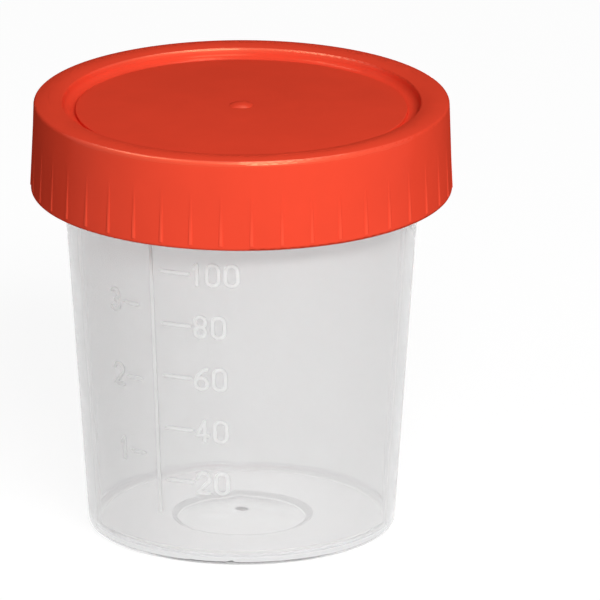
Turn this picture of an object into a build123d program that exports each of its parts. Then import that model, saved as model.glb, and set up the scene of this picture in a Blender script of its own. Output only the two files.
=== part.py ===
from build123d import *
from math import asin, cos, degrees, radians, sin, sqrt, tan
import os

# Specimen container: a tapered, see-through cup closed by a two-start screw cap with a seal ring.
# Millimetres, +Z up. The origin is the middle of the foot, on the table. -Y is the side with the scale.

# Cup body
cup_base_radius = 24.8
cup_wall = 1.0
floor_thickness = 1.2
foot_rounding = 1.3
floor_corner_rounding = 1.5
shoulder_step = 2.4
shoulder_slope = 45
shoulder_rounding = 0.6

# Middle of the floor: a shallow dish that domes up again to a small gate nub
dish_radius = 11.3
dish_depth = 0.5
dish_slope_width = 1.1
dish_dome = 1.2
dish_rounding = 0.15
floor_nub_radius = 1.6
floor_nub_height = 0.3

# Cap
skirt_bottom = 56.3
cap_height = 15.2
cap_bottom_radius = 34.1
cap_draft = 1.77
skirt_wall = 1.5
skirt_edge_rounding = 0.5
rim_width = 4.65
rim_crown = 0.45
rim_edge_rounding = 0.6
rim_ceiling = 1.0
recess_edge_rounding = 0.4
recess_depth = 1.7
recess_wall_draft = 0.4
moat_width = 1.7
disc_step = 0.5
disc_dome = 0.6
panel_thickness = 1.0
cap_nub_radius = 2.4
cap_nub_height = 0.5
plug_wall = 1.0
lip_length = 1.2
lip_rounding = 0.45
recess_foot_rounding = 1.2
disc_edge_rounding = 0.15

# Grip ribs round the skirt
rib_count = 43
rib_first_azimuth = 2.83
rib_width = 0.85
rib_crest_width = 0.3
rib_height = 0.13
rib_length = 10.0
rib_foot_gap = 0.85
rib_head_sink = 0.02

# Neck, thread and seal
neck_wall = 1.1
shoulder_above_skirt = 0.8
neck_rim_rounding = 0.3
neck_foot_rounding = 0.4
plug_clearance = 0.15
thread_starts = 2
thread_lead = 8.0
cup_thread_height = 1.1
cap_thread_height = 1.0
cap_thread_share = 0.8
thread_root_width = 2.0
thread_crest_width = 1.1
thread_flank_gap = 0.15
thread_foot_gap = 0.35
thread_top_gap = 0.9
seal_thickness = 1.0
seal_side_gap = 0.2
seal_top_gap = 0.1
seal_chamfer = 0.12

# Raised scale on the wall
relief_height = 0.16
line_width = 0.52
mark_count = 5
mark_step_volume = 20
mark_step_height = 9.0
first_mark_height = 14.35
ounce_mark_count = 3
ounce_volume = 28.41
mark_azimuths = (-27.6, -16.9)
number_azimuth = -16.3
ounce_mark_azimuths = (-42.8, -36.1)
ounce_number_azimuth = -44.1
divider_azimuth = -30.7
divider_bottom = 8.4
digit_height = 4.0
digit_width = 2.45
one_width = 1.7
digit_gap = 0.55

# Shape of the numerals: shares of half their width or height, and how far their arcs turn
one_flag_share = 0.6
four_bar_share = 0.4
seven_foot_share = 0.3
two_tail_angle = 30
two_top_turn = 200
three_bowl_turn = 240
five_bowl_turns = (-150, 140)
back_share = 1.5

# How far ridges and relief reach into the wall that they join
embed = 0.3


def skirt_radius(height):
    """Outer radius of the cap's skirt at a height above the table."""
    return cap_bottom_radius - (height - skirt_bottom) * tan(radians(cap_draft))


# Cap levels and radii
cap_top = skirt_bottom + cap_height
rim_edge = cap_top - rim_crown
skirt_bore = cap_bottom_radius - skirt_wall
recess_radius = skirt_radius(rim_edge) - rim_width
moat_radius = recess_radius - recess_wall_draft
moat_floor = rim_edge - recess_depth
disc_radius = moat_radius - moat_width
disc_edge = moat_floor + disc_step
disc_middle = disc_edge + disc_dome
panel_underside = moat_floor - panel_thickness
underside_middle = panel_underside + disc_dome
plug_radius = recess_radius + plug_wall
lip_bottom = panel_underside - lip_length
channel_ceiling = rim_edge - rim_ceiling

# Neck levels and radii
seal_top = channel_ceiling - seal_top_gap
cup_height = seal_top - seal_thickness
neck_bore = plug_radius + plug_clearance
neck_radius = neck_bore + neck_wall
shoulder_bottom = skirt_bottom + shoulder_above_skirt
shoulder_top = shoulder_bottom + shoulder_step * tan(radians(shoulder_slope))

# Levels of the dish in the floor, which is as thick under the dome as at its edge
dish_floor = floor_thickness - dish_depth
dish_foot_radius = dish_radius - dish_slope_width
dish_middle = dish_floor + dish_dome

# The wall tapers from the shoulder's foot down to the base
wall_taper = (neck_radius - shoulder_step - cup_base_radius) / shoulder_bottom


def body_radius(height):
    """Outer radius of the tapered wall at a height above the table."""
    return cup_base_radius + height * wall_taper


def body_bore(height):
    """Inner radius of the tapered wall."""
    return body_radius(height) - cup_wall * sqrt(1 + wall_taper**2)


def shoulder_inside(radius):
    """Height of the sloping shoulder's inner face at a radius."""
    slope = radians(shoulder_slope)
    return shoulder_top + (radius - neck_radius) * tan(slope) + cup_wall / cos(slope)


shoulder_inner_bottom = shoulder_inside(body_bore(shoulder_bottom))

# Thread: the cap's ridges hang under the cup's ridges, flank to flank
cup_crest_radius = neck_radius + cup_thread_height
cap_crest_radius = skirt_bore - cap_thread_height
cup_thread_start = shoulder_top + thread_foot_gap + thread_root_width / 2
cup_thread_end = cup_height - thread_top_gap - thread_root_width / 2
cup_thread_rise = cup_thread_end - cup_thread_start
cap_thread_rise = cup_thread_rise * cap_thread_share


def ridge_width(root_radius, crest_radius, radius):
    """Width of a thread ridge at a radius, from its widths at the root and at the crest."""
    share = (radius - root_radius) / (crest_radius - root_radius)
    return thread_root_width + share * (thread_crest_width - thread_root_width)


def ridge_overlap(radius):
    """Centre distance of the two ridges at which their flanks meet at a radius."""
    cup_ridge = ridge_width(neck_radius, cup_crest_radius, radius)
    cap_ridge = ridge_width(skirt_bore, cap_crest_radius, radius)
    return (cup_ridge + cap_ridge) / 2


thread_drop = max(ridge_overlap(cup_crest_radius), ridge_overlap(cap_crest_radius)) + thread_flank_gap
cap_thread_start = cup_thread_start - thread_drop


def thread_ridge(root_radius, crest_radius, start_height, rise):
    """One ridge of a right-hand thread, a trapezium carried along a helix."""
    inner_radius = root_radius - embed if crest_radius > root_radius else root_radius + embed
    half_crest = thread_crest_width / 2
    half_inner = ridge_width(root_radius, crest_radius, inner_radius) / 2
    with BuildPart() as ridge:
        with BuildLine() as path:
            Helix(
                pitch=thread_lead,
                height=rise,
                radius=root_radius,
                center=(0, 0, start_height),
            )
        with BuildSketch(Plane.XZ):
            with BuildLine():
                Polyline(
                    (inner_radius, start_height - half_inner),
                    (crest_radius, start_height - half_crest),
                    (crest_radius, start_height + half_crest),
                    (inner_radius, start_height + half_inner),
                    close=True,
                )
            make_face()
        sweep(path=path.line, is_frenet=True)
    return ridge.part


def dome_arc(middle, rise, edge_radius):
    """An arc for a spherical dome, from its middle height on the axis down by rise to its edge."""
    ball = (edge_radius**2 + rise**2) / (2 * rise)
    half_way = middle - ball + sqrt(ball**2 - (edge_radius / 2) ** 2)
    ThreePointArc((0, middle), (edge_radius / 2, half_way), (edge_radius, middle - rise))


def nub_section(surface, radius, height):
    """Half section of a gate nub: a low ball cap, rooted in the surface that it stands on."""
    foot = surface - embed
    top = surface + height
    with BuildSketch(Plane.XZ) as section:
        with BuildLine():
            Polyline((radius, foot), (0, foot), (0, top))
            dome_arc(top, top - foot, radius)
        make_face()
    return section.sketch


cup_ridge = thread_ridge(neck_radius, cup_crest_radius, cup_thread_start, cup_thread_rise)
cap_ridge = thread_ridge(skirt_bore, cap_crest_radius, cap_thread_start, cap_thread_rise)

# Numerals are drawn with round-ended strokes inside a box of digit_width by digit_height
half_w = (digit_width - line_width) / 2
half_h = (digit_height - line_width) / 2
bowl = half_h / 2

# The back of a 6 is an arc that rises from the side of its ring to the full height; a 9 is a 6 upside down
back = half_h * back_share
back_turn = degrees(asin((2 * half_h - half_w) / back))

# Drawings of the scale start this far before the wall and end as far behind it
drawing_reach = cup_base_radius / 6


def stroke(start, end):
    """A straight round-ended stroke between two points."""
    with BuildLine(mode=Mode.PRIVATE) as line:
        Line(start, end)
    SlotArc(line.line.edge(), line_width)


def hook(centre, radius, start_angle, sweep_angle):
    """A curved round-ended stroke."""
    with BuildLine(mode=Mode.PRIVATE) as line:
        CenterArc(centre, radius, start_angle, sweep_angle)
    SlotArc(line.line.edge(), line_width)


def ring(centre, radius):
    """A closed round stroke."""
    with Locations(centre):
        Circle(radius + line_width / 2)
        Circle(radius - line_width / 2, mode=Mode.SUBTRACT)


def numeral(digit):
    """One plain numeral, centred on the sketch origin."""
    with BuildSketch() as glyph:
        if digit == "0":
            SlotOverall(digit_height, digit_width, rotation=90)
            SlotOverall(
                digit_height - 2 * line_width,
                digit_width - 2 * line_width,
                rotation=90,
                mode=Mode.SUBTRACT,
            )
        elif digit == "1":
            stroke((0, -half_h), (0, half_h))
            stroke((0, half_h), (-half_w * one_flag_share, half_h * one_flag_share))
        elif digit == "2":
            tail = radians(two_tail_angle)
            hook((0, half_h - half_w), half_w, -two_tail_angle, two_top_turn)
            stroke((half_w * cos(tail), half_h - half_w - half_w * sin(tail)), (-half_w, -half_h))
            stroke((-half_w, -half_h), (half_w, -half_h))
        elif digit == "3":
            hook((0, half_h - bowl), bowl, -90, three_bowl_turn)
            hook((0, bowl - half_h), bowl, 90 - three_bowl_turn, three_bowl_turn)
        elif digit == "4":
            stem = half_w * four_bar_share
            bar = -half_h * four_bar_share
            stroke((stem, -half_h), (stem, half_h))
            stroke((stem, half_h), (-half_w, bar))
            stroke((-half_w, bar), (half_w, bar))
        elif digit == "5":
            tail, shoulder = five_bowl_turns
            side = half_w * cos(radians(shoulder))
            hook((0, half_w - half_h), half_w, tail, shoulder - tail)
            stroke((side, half_w - half_h + half_w * sin(radians(shoulder))), (side, half_h))
            stroke((side, half_h), (half_w, half_h))
        elif digit == "6":
            ring((0, half_w - half_h), half_w)
            hook((back - half_w, half_w - half_h), back, 180 - back_turn, back_turn)
        elif digit == "7":
            stroke((-half_w, half_h), (half_w, half_h))
            stroke((half_w, half_h), (-half_w * seven_foot_share, -half_h))
        elif digit == "8":
            ring((0, half_h - bowl), bowl)
            ring((0, bowl - half_h), bowl)
        elif digit == "9":
            ring((0, half_h - half_w), half_w)
            hook((half_w - back, half_h - half_w), back, -back_turn, back_turn)
    return glyph.sketch


def wall_plane(azimuth, height):
    """A plane in front of the wall, seen from outside; azimuth 0 faces -Y and grows to the right."""
    turn = radians(azimuth)
    distance = body_radius(height) + drawing_reach
    return Plane(
        origin=(distance * sin(turn), -distance * cos(turn), height),
        x_dir=(cos(turn), sin(turn), 0),
        z_dir=(sin(turn), -cos(turn), 0),
    )


def mark_height(volume):
    """Height of the mark for a volume in millilitres."""
    return first_mark_height + (volume / mark_step_volume - 1) * mark_step_height


def tick_sketch(azimuths, height):
    """A level tick between two azimuths."""
    first, last = azimuths
    chord = 2 * body_radius(height) * tan(radians((last - first) / 2))
    with BuildSketch(wall_plane((first + last) / 2, height)) as tick:
        SlotOverall(chord, line_width)
    return tick.sketch


def number_sketch(text, azimuth, height, align_right=False):
    """A number that starts at an azimuth, or ends there; a 1 takes less room than the other digits."""
    widths = [one_width if digit == "1" else digit_width for digit in text]
    length = sum(widths) + digit_gap * (len(text) - 1)
    place = -length if align_right else 0
    with BuildSketch(wall_plane(azimuth, height)) as number:
        for digit, width in zip(text, widths):
            with Locations((place + width / 2, 0)):
                add(numeral(digit))
            place += width + digit_gap
    return number.sketch


def divider_sketch():
    """The long upright line beside the scale."""
    length = shoulder_bottom - divider_bottom
    with BuildSketch(wall_plane(divider_azimuth, divider_bottom + length / 2)) as divider:
        SlotOverall(length, line_width, rotation=90)
    return divider.sketch


def wall_skin():
    """A thin conical skin over the tapered wall."""
    with BuildPart() as skin:
        with BuildSketch(Plane.XZ):
            with BuildLine():
                Polyline(
                    (body_radius(0) - embed, 0),
                    (body_radius(0) + relief_height, 0),
                    (body_radius(shoulder_bottom) + relief_height, shoulder_bottom),
                    (body_radius(shoulder_bottom) - embed, shoulder_bottom),
                    close=True,
                )
            make_face()
        revolve(axis=Axis.Z)
    return skin.part


# Raised scale: flat drawings pushed through the wall, kept only in a thin skin over it
with BuildPart() as scale_relief:
    for step in range(mark_count):
        volume = (step + 1) * mark_step_volume
        extrude(tick_sketch(mark_azimuths, mark_height(volume)), -2 * drawing_reach)
        number = number_sketch(f"{volume:.0f}", number_azimuth, mark_height(volume))
        extrude(number, -2 * drawing_reach)
    for step in range(ounce_mark_count):
        ounce = step + 1
        ounce_height = mark_height(ounce * ounce_volume)
        extrude(tick_sketch(ounce_mark_azimuths, ounce_height), -2 * drawing_reach)
        ounce_number = number_sketch(str(ounce), ounce_number_azimuth, ounce_height, align_right=True)
        extrude(ounce_number, -2 * drawing_reach)
    extrude(divider_sketch(), -2 * drawing_reach)
    add(wall_skin(), mode=Mode.INTERSECT)

# Cup: body, shoulder, neck and thread in one moulding
with BuildPart() as cup:
    with BuildSketch(Plane.XZ):
        with BuildLine():
            FilletPolyline(
                (dish_foot_radius, 0),
                (body_radius(0), 0),
                (body_radius(shoulder_bottom), shoulder_bottom),
                (neck_radius, shoulder_top),
                (neck_radius, cup_height),
                (neck_bore, cup_height),
                (neck_bore, shoulder_inside(neck_bore)),
                (body_bore(shoulder_inner_bottom), shoulder_inner_bottom),
                (body_bore(floor_thickness), floor_thickness),
                (dish_radius, floor_thickness),
                (dish_foot_radius, dish_floor),
                radius=[
                    foot_rounding,
                    shoulder_rounding,
                    neck_foot_rounding,
                    neck_rim_rounding,
                    neck_rim_rounding,
                    neck_foot_rounding,
                    shoulder_rounding,
                    floor_corner_rounding,
                    dish_rounding,
                ],
            )
            dome_arc(dish_middle, dish_dome, dish_foot_radius)
            Line((0, dish_middle), (0, dish_dome))
            dome_arc(dish_dome, dish_dome, dish_foot_radius)
        make_face()
    revolve(axis=Axis.Z)
    add(nub_section(dish_middle, floor_nub_radius, floor_nub_height))
    revolve(axis=Axis.Z)
    for start in range(thread_starts):
        add(cup_ridge, rotation=(0, 0, start * 360 / thread_starts))
    add(scale_relief.part)


def corner(profile, radius, height):
    """The corner of a half section that lies nearest to a point."""
    return profile.vertices().sort_by_distance(Vertex(radius, height, 0))[0]


# One grip rib: a thin bar of trapezium section that sinks into the drafted skirt towards its top
rib_foot = skirt_bottom + rib_foot_gap
rib_head = rib_foot + rib_length


def rib_section(height, crest):
    """Outline of a rib at a height, with its crest at a radius and its flanks carried on into the skirt."""
    flare = (rib_width - rib_crest_width) / 2 / rib_height
    half_crest = rib_crest_width / 2
    half_inner = rib_width / 2 + flare * embed
    inner = crest - rib_height - embed
    with BuildSketch(Plane.XY.offset(height)) as section:
        with BuildLine():
            Polyline(
                (crest, half_crest),
                (crest, -half_crest),
                (inner, -half_inner),
                (inner, half_inner),
                close=True,
            )
        make_face()
    return section.sketch


with BuildPart() as rib:
    add(rib_section(rib_foot, skirt_radius(rib_foot) + rib_height))
    add(rib_section(rib_head, skirt_radius(rib_head) - rib_head_sink))
    loft(ruled=True)

# Cap: skirt, crowned rim, recessed panel, plug and thread in one moulding
with BuildPart() as cap:
    with BuildSketch(Plane.XZ) as cap_section:
        with BuildLine():
            Line((0, underside_middle), (0, disc_middle))
            dome_arc(disc_middle, disc_dome, disc_radius)
            Polyline(
                (disc_radius, disc_edge),
                (disc_radius, moat_floor),
                (moat_radius, moat_floor),
                (recess_radius, rim_edge),
            )
            ThreePointArc(
                (recess_radius, rim_edge),
                ((recess_radius + skirt_radius(rim_edge)) / 2, cap_top),
                (skirt_radius(rim_edge), rim_edge),
            )
            Polyline(
                (skirt_radius(rim_edge), rim_edge),
                (cap_bottom_radius, skirt_bottom),
                (skirt_bore, skirt_bottom),
                (skirt_bore, channel_ceiling),
                (plug_radius, channel_ceiling),
                (plug_radius, lip_bottom),
                (recess_radius, lip_bottom),
                (recess_radius, panel_underside),
            )
            dome_arc(underside_middle, disc_dome, recess_radius)
        make_face()
        fillet(corner(cap_section, skirt_radius(rim_edge), rim_edge), rim_edge_rounding)
        fillet(corner(cap_section, recess_radius, rim_edge), recess_edge_rounding)
        fillet(corner(cap_section, moat_radius, moat_floor), recess_foot_rounding)
        fillet(corner(cap_section, disc_radius, disc_edge), disc_edge_rounding)
        fillet(corner(cap_section, cap_bottom_radius, skirt_bottom), skirt_edge_rounding)
        fillet(corner(cap_section, plug_radius, lip_bottom), lip_rounding)
    revolve(axis=Axis.Z)
    add(nub_section(disc_middle, cap_nub_radius, cap_nub_height))
    revolve(axis=Axis.Z)
    for start in range(thread_starts):
        add(cap_ridge, rotation=(0, 0, start * 360 / thread_starts))
    with PolarLocations(0, rib_count, start_angle=rib_first_azimuth - 90):
        add(rib.part)

# Seal ring: a flat washer on the cup's rim, between the plug and the skirt
with BuildPart() as seal_ring:
    with BuildSketch(Plane.XY.offset(cup_height)):
        Circle(skirt_bore - seal_side_gap)
        Circle(plug_radius + seal_side_gap, mode=Mode.SUBTRACT)
    extrude(amount=seal_thickness)
    chamfer(seal_ring.edges(), seal_chamfer)

os.makedirs("parts", exist_ok=True)
cup.part.label = "cup"
cap.part.label = "cap"
seal_ring.part.label = "seal_ring"
for piece in (cup.part, cap.part, seal_ring.part):
    export_step(piece, f"parts/{piece.label}.step")
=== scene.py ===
import math

import bpy
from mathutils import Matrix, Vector

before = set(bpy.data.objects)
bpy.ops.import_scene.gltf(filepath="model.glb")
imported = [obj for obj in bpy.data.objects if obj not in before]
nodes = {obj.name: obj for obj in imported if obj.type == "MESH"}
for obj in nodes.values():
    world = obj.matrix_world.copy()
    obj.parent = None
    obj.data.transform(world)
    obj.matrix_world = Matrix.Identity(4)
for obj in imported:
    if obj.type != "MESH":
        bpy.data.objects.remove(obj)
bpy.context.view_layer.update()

scene = bpy.context.scene

# Look of the parts
CAP_COLOUR = (0.89, 0.069, 0.032, 1)
# Painted highlight: the ribs are coloured lighter than the cap, so that they read as light strips
RIB_HIGHLIGHT_COLOUR = (1, 0.092, 0.045, 1)
CUP_COLOUR = (0.95, 0.95, 0.95, 1)
# Partly painted highlight: the raised scale is coloured whiter and made less clear, a frosted finish that also
# stands in for the light its relief catches
MARK_FROST_AND_HIGHLIGHT_COLOUR = (0.97, 0.97, 0.97, 1)
# Painted light: the dish is coloured lighter, against the shade on the table under its dome
DISH_LIGHTENED_COLOUR = (1, 1, 1, 1)
# Painted shade: the dish's sloping edge is coloured darker, for the dark ring that its refraction gives
RING_SHADE_COLOUR = (0.50, 0.50, 0.51, 1)
# Painted shade: the foot band is coloured darker, to tone down the bright band that light through the thick foot
# gives
FOOT_SHADE_COLOUR = (0.72, 0.72, 0.73, 1)
SEAL_COLOUR = (0.86, 0.85, 0.82, 1)

# Camera of the photograph: how far above level it looks down, and where the middle of the picture lies
ELEVATION = 17.62
FIELD = 0.0972
DISTANCE = 4.3
TARGET = (0.00945, 0, 0.03735)

# The cup's tapered wall, as built: its radius at the foot, how much it widens with height, and where it ends
WALL_FOOT = 0.0248
WALL_TAPER = 0.07083
WALL_TOP = 0.0568

# The cup's floor: the sloping edge round its dish, and the dome in the dish
DISH_SLOPE = (0.0103, 0.0116)
FLOOR_TOP = 0.0014
DOME_TOP = 0.003

# The foot: the lowest part of the wall's outer face, and the rounding under it
FOOT_RING = (0.0241, 0.026)
FOOT_TOP = 0.002
ROUNDING = (0.0230, 0.026)
ROUNDING_TOP = 0.0008

# The cap's drafted skirt, as built: its radius carried down to the foot, and how much it widens with height
SKIRT_FOOT = 0.03584
SKIRT_TAPER = -0.0309

# The cap's top edges, more polished than the rest: the heights that the change spans, and how strongly they shine
EDGE_HEIGHTS = (0.0701, 0.0709)
EDGE_POLISH = 8.0
EDGE_ROUGHNESS = 0.13
CAP_GLOSS = (1, 0.72, 0.38, 1)

# The table's surface, a hair above the foot's flat face, so that the two don't coincide
FLOOR_LEVEL = 0.00002


def new_material(name):
    """A material with its Principled shader, and the tree to add nodes to."""
    mat = bpy.data.materials.new(name)
    mat.use_nodes = True
    tree = mat.node_tree
    shader = tree.nodes["Principled BSDF"]
    return mat, tree, shader


def node(tree, kind, **settings):
    """A new node with some of its properties and inputs set."""
    made = tree.nodes.new(kind)
    for key, value in settings.items():
        if key in made.inputs:
            made.inputs[key].default_value = value
        else:
            setattr(made, key, value)
    return made


def noise(tree, scale, detail=2.0, roughness=0.5):
    """Noise in the object's own metres."""
    place = node(tree, "ShaderNodeTexCoord")
    made = node(tree, "ShaderNodeTexNoise", Scale=scale, Detail=detail, Roughness=roughness)
    tree.links.new(place.outputs["Object"], made.inputs["Vector"])
    return made


def ranged(tree, source, low, high, start=0.3, end=0.7):
    """A value stretched from one range to another."""
    made = node(tree, "ShaderNodeMapRange")
    made.inputs["From Min"].default_value = start
    made.inputs["From Max"].default_value = end
    made.inputs["To Min"].default_value = low
    made.inputs["To Max"].default_value = high
    tree.links.new(source, made.inputs["Value"])
    return made.outputs["Result"]


def maths(tree, operation, *values):
    """A math node on sockets or numbers."""
    made = node(tree, "ShaderNodeMath", operation=operation)
    for socket, value in zip(made.inputs, values):
        if isinstance(value, (int, float)):
            socket.default_value = value
        else:
            tree.links.new(value, socket)
    return made.outputs[0]


def bump(tree, source, strength, distance):
    made = node(tree, "ShaderNodeBump", Strength=strength, Distance=distance)
    tree.links.new(source, made.inputs["Height"])
    return made.outputs["Normal"]


def shade(colour, factor):
    """A colour made lighter or darker."""
    return tuple(min(1, c * factor) for c in colour[:3]) + (1,)


def set_colours(mix, first, second):
    """The two colours of a colour mix."""
    mix.inputs[6].default_value = first
    mix.inputs[7].default_value = second


def painted(tree, under, colour, share):
    """A colour laid over another one where the share is 1."""
    mix = node(tree, "ShaderNodeMix", data_type="RGBA")
    set_colours(mix, colour, colour)
    tree.links.new(under, mix.inputs[6])
    tree.links.new(share, mix.inputs["Factor"])
    return mix.outputs[2]


def radius_and_height(tree):
    """Distance from the container's axis and height over its foot, in the object's own metres."""
    place = node(tree, "ShaderNodeTexCoord")
    split = node(tree, "ShaderNodeSeparateXYZ")
    tree.links.new(place.outputs["Object"], split.inputs[0])
    across = maths(tree, "MULTIPLY", split.outputs[0], split.outputs[0])
    along = maths(tree, "MULTIPLY", split.outputs[1], split.outputs[1])
    radius = maths(tree, "SQRT", maths(tree, "ADD", across, along))
    return radius, split.outputs[2]


def proud_of(tree, radius, height, foot, taper):
    """1 on what stands out from a tapered wall, and 0 elsewhere."""
    wall = maths(tree, "MULTIPLY_ADD", height, taper, foot)
    return ranged(tree, maths(tree, "SUBTRACT", radius, wall), 0, 1, 0.00004, 0.00011)


def raised_mark(tree, radius, height):
    """1 on the raised scale, which stands in front of the tapered wall, and 0 elsewhere."""
    proud = proud_of(tree, radius, height, WALL_FOOT, WALL_TAPER)
    below = maths(tree, "LESS_THAN", height, WALL_TOP)
    return maths(tree, "MULTIPLY", proud, below)


def zone(tree, radius, height, inner, outer, top):
    """1 between two radii and under a height, and 0 elsewhere."""
    outside = maths(tree, "GREATER_THAN", radius, inner)
    inside = maths(tree, "LESS_THAN", radius, outer)
    low = maths(tree, "LESS_THAN", height, top)
    return maths(tree, "MULTIPLY", maths(tree, "MULTIPLY", outside, inside), low)


def seen_ray(tree):
    """1 for a ray from the camera, off a gloss or through glass."""
    path = node(tree, "ShaderNodeLightPath")
    first = node(tree, "ShaderNodeMath", operation="MAXIMUM")
    second = node(tree, "ShaderNodeMath", operation="MAXIMUM")
    tree.links.new(path.outputs["Is Camera Ray"], first.inputs[0])
    tree.links.new(path.outputs["Is Glossy Ray"], first.inputs[1])
    tree.links.new(first.outputs[0], second.inputs[0])
    tree.links.new(path.outputs["Is Transmission Ray"], second.inputs[1])
    return second.outputs[0]


def cap_plastic():
    mat, tree, shader = new_material("cap_plastic")
    shader.inputs["Base Color"].default_value = CAP_COLOUR
    shader.inputs["IOR"].default_value = 1.49
    mottle = noise(tree, 90, 3)
    mix = node(tree, "ShaderNodeMix", data_type="RGBA")
    set_colours(mix, shade(CAP_COLOUR, 0.97), shade(CAP_COLOUR, 1.03))
    tree.links.new(ranged(tree, mottle.outputs["Fac"], 0, 1), mix.inputs["Factor"])
    radius, height = radius_and_height(tree)
    # Painted highlight: the ribs that stand out from the skirt get a lighter colour
    rib = proud_of(tree, radius, height, SKIRT_FOOT, SKIRT_TAPER)
    tree.links.new(painted(tree, mix.outputs[2], RIB_HIGHLIGHT_COLOUR, rib), shader.inputs["Base Color"])
    facing = node(tree, "ShaderNodeLayerWeight", Blend=0.5)
    shine = ranged(tree, facing.outputs["Facing"], 0.11, 0.0, 0.12, 0.45)
    edges = ranged(tree, height, 0, 1, *EDGE_HEIGHTS)
    polish = maths(tree, "MULTIPLY_ADD", edges, EDGE_POLISH, 1)
    tree.links.new(maths(tree, "MULTIPLY", shine, polish), shader.inputs["Specular IOR Level"])
    shader.inputs["Specular Tint"].default_value = CAP_GLOSS
    sheen = noise(tree, 260, 2)
    satin = ranged(tree, sheen.outputs["Fac"], 0.20, 0.25)
    tree.links.new(maths(tree, "MULTIPLY_ADD", edges, EDGE_ROUGHNESS, satin), shader.inputs["Roughness"])
    grain = noise(tree, 2600, 1)
    tree.links.new(bump(tree, grain.outputs["Fac"], 0.03, 0.0001), shader.inputs["Normal"])
    return mat


def cup_plastic():
    mat, tree, shader = new_material("cup_plastic")
    shader.inputs["IOR"].default_value = 1.49
    shader.inputs["Specular IOR Level"].default_value = 0.25
    shader.inputs["Coat Weight"].default_value = 0.6
    shader.inputs["Coat Roughness"].default_value = 0.3
    radius, height = radius_and_height(tree)
    mark = raised_mark(tree, radius, height)
    # Partly painted highlight: the raised scale gets a whiter, frosted colour that also stands in for the light
    # its relief catches
    paint = node(tree, "ShaderNodeMix", data_type="RGBA")
    set_colours(paint, CUP_COLOUR, MARK_FROST_AND_HIGHLIGHT_COLOUR)
    tree.links.new(mark, paint.inputs["Factor"])
    dish = zone(tree, radius, height, -1, DISH_SLOPE[0], DOME_TOP)
    slope = zone(tree, radius, height, *DISH_SLOPE, FLOOR_TOP)
    foot = zone(tree, radius, height, *FOOT_RING, FOOT_TOP)
    # Painted light: the dish is coloured lighter, against the shade on the table under its dome
    colour = painted(tree, paint.outputs[2], DISH_LIGHTENED_COLOUR, dish)
    # Painted shade: the dish's sloping edge is coloured darker, for the dark ring that its refraction gives
    colour = painted(tree, colour, RING_SHADE_COLOUR, slope)
    # Painted shade: the foot band is coloured darker, to tone down its bright band
    colour = painted(tree, colour, FOOT_SHADE_COLOUR, foot)
    tree.links.new(colour, shader.inputs["Base Color"])
    # Painted light: the dish and the lowest rounding are made clearer, so that the shade on them reads lighter
    rounding = zone(tree, radius, height, *ROUNDING, ROUNDING_TOP)
    clear = maths(tree, "ADD", dish, rounding)
    passed = ranged(tree, mark, 0.80, 0.42, 0, 1)
    tree.links.new(maths(tree, "MULTIPLY_ADD", clear, 0.16, passed), shader.inputs["Transmission Weight"])
    haze = noise(tree, 140, 2)
    tree.links.new(ranged(tree, haze.outputs["Fac"], 0.03, 0.06), shader.inputs["Roughness"])
    flow = noise(tree, 60, 2)
    tree.links.new(bump(tree, flow.outputs["Fac"], 0.04, 0.0004), shader.inputs["Normal"])
    return mat


def seal_rubber():
    mat, tree, shader = new_material("seal_rubber")
    mottle = noise(tree, 400, 2)
    mix = node(tree, "ShaderNodeMix", data_type="RGBA")
    set_colours(mix, shade(SEAL_COLOUR, 0.94), SEAL_COLOUR)
    tree.links.new(ranged(tree, mottle.outputs["Fac"], 0, 1), mix.inputs["Factor"])
    tree.links.new(mix.outputs[2], shader.inputs["Base Color"])
    tree.links.new(ranged(tree, mottle.outputs["Fac"], 0.6, 0.75), shader.inputs["Roughness"])
    return mat


def floor_material():
    """Pale floor that shows as white with a faint shadow, and can be seen through from below."""
    mat = bpy.data.materials.new("floor")
    mat.use_nodes = True
    tree = mat.node_tree
    tree.nodes.clear()
    out = node(tree, "ShaderNodeOutputMaterial")
    diffuse = node(tree, "ShaderNodeBsdfDiffuse", Color=(0.6, 0.6, 0.6, 1))
    shadow = node(tree, "ShaderNodeBsdfDiffuse", Color=(0.15, 0.15, 0.15, 1))
    glow = node(tree, "ShaderNodeEmission", Color=(1, 1, 1, 1), Strength=0.91)
    part = node(tree, "ShaderNodeAddShader")
    tree.links.new(shadow.outputs[0], part.inputs[0])
    tree.links.new(glow.outputs[0], part.inputs[1])
    rays = seen_ray(tree)
    seen = node(tree, "ShaderNodeMixShader")
    tree.links.new(rays, seen.inputs[0])
    tree.links.new(diffuse.outputs[0], seen.inputs[1])
    tree.links.new(part.outputs[0], seen.inputs[2])
    side = node(tree, "ShaderNodeNewGeometry")
    clear = node(tree, "ShaderNodeBsdfTransparent")
    both = node(tree, "ShaderNodeMixShader")
    tree.links.new(side.outputs["Backfacing"], both.inputs[0])
    tree.links.new(seen.outputs[0], both.inputs[1])
    tree.links.new(clear.outputs[0], both.inputs[2])
    tree.links.new(both.outputs[0], out.inputs["Surface"])
    return mat


def dress(name, mat):
    piece = nodes[name]
    piece.data.materials.clear()
    piece.data.materials.append(mat)


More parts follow.
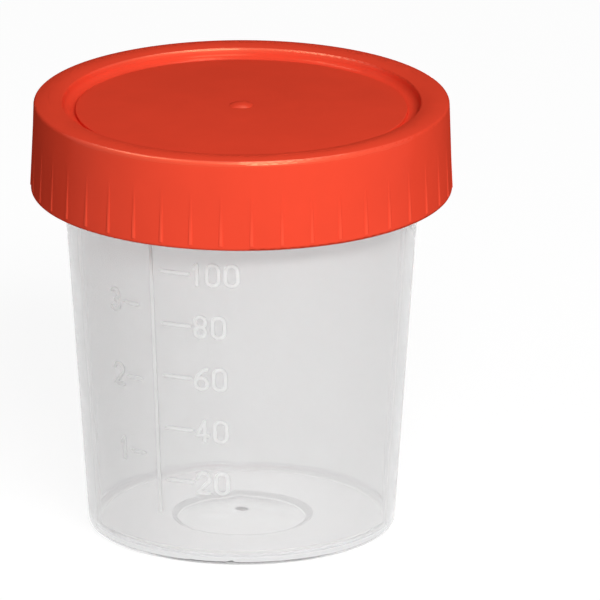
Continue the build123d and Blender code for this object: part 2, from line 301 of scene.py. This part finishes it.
def build_floor():
    half = 4.0
    mesh = bpy.data.meshes.new("floor")
    corners = [(x, y, FLOOR_LEVEL) for x, y in ((-half, -half), (half, -half), (half, half), (-half, half))]
    mesh.from_pydata(corners, [], [(0, 1, 2, 3)])
    mesh.materials.append(floor_material())
    floor = bpy.data.objects.new("floor", mesh)
    scene.collection.objects.link(floor)


def lamp(name, place, aim, size, power):
    data = bpy.data.lights.new(name, "AREA")
    data.shape = "RECTANGLE"
    data.size, data.size_y = size
    data.energy = power
    made = bpy.data.objects.new(name, data)
    made.location = place
    made.rotation_mode = "QUATERNION"
    made.rotation_quaternion = (Vector(aim) - Vector(place)).to_track_quat("-Z", "Y")
    scene.collection.objects.link(made)
    return made


dress("cup", cup_plastic())
dress("cap", cap_plastic())
dress("seal_ring", seal_rubber())

build_floor()

# World: white where it is seen, dimmer as light
world = bpy.data.worlds.new("studio")
scene.world = world
world.use_nodes = True
tree = world.node_tree
back = tree.nodes["Background"]
back.inputs["Color"].default_value = (1, 1, 1, 1)
tree.links.new(ranged(tree, seen_ray(tree), 0.18, 1.0, 0, 1), back.inputs["Strength"])

lamp("key", (0.228, -0.745, 0.59), (0, 0, 0.045), (0.55, 0.20), 7.9)

# Two strip lamps overhead that only show as highlights on the cap's edges
glossy = bpy.data.collections.new("glossy")
glossy.objects.link(nodes["cap"])
for name, place, size, power in (
    ("edge_left", (-0.55, 0.03, 0.90), (0.7, 0.20), 5.0),
    ("edge_right", (0.22, 0.03, 1.06), (0.9, 0.20), 8.0),
):
    strip = lamp(name, place, (0, 0, 0.07), size, power)
    strip.visible_diffuse = False
    strip.visible_transmission = False
    strip.light_linking.receiver_collection = glossy

# Camera
camera = bpy.data.cameras.new("camera")
camera.type = "PERSP"
camera.sensor_width = 36
camera.lens = 36 * DISTANCE / FIELD
camera.clip_start = 0.01
camera.clip_end = 100
view = bpy.data.objects.new("camera", camera)
angle = math.radians(ELEVATION)
away = Vector((0, -math.cos(angle), math.sin(angle)))
view.location = Vector(TARGET) + DISTANCE * away
view.rotation_mode = "QUATERNION"
view.rotation_quaternion = (-away).to_track_quat("-Z", "Y")
scene.collection.objects.link(view)
scene.camera = view

scene.view_settings.view_transform = "Standard"
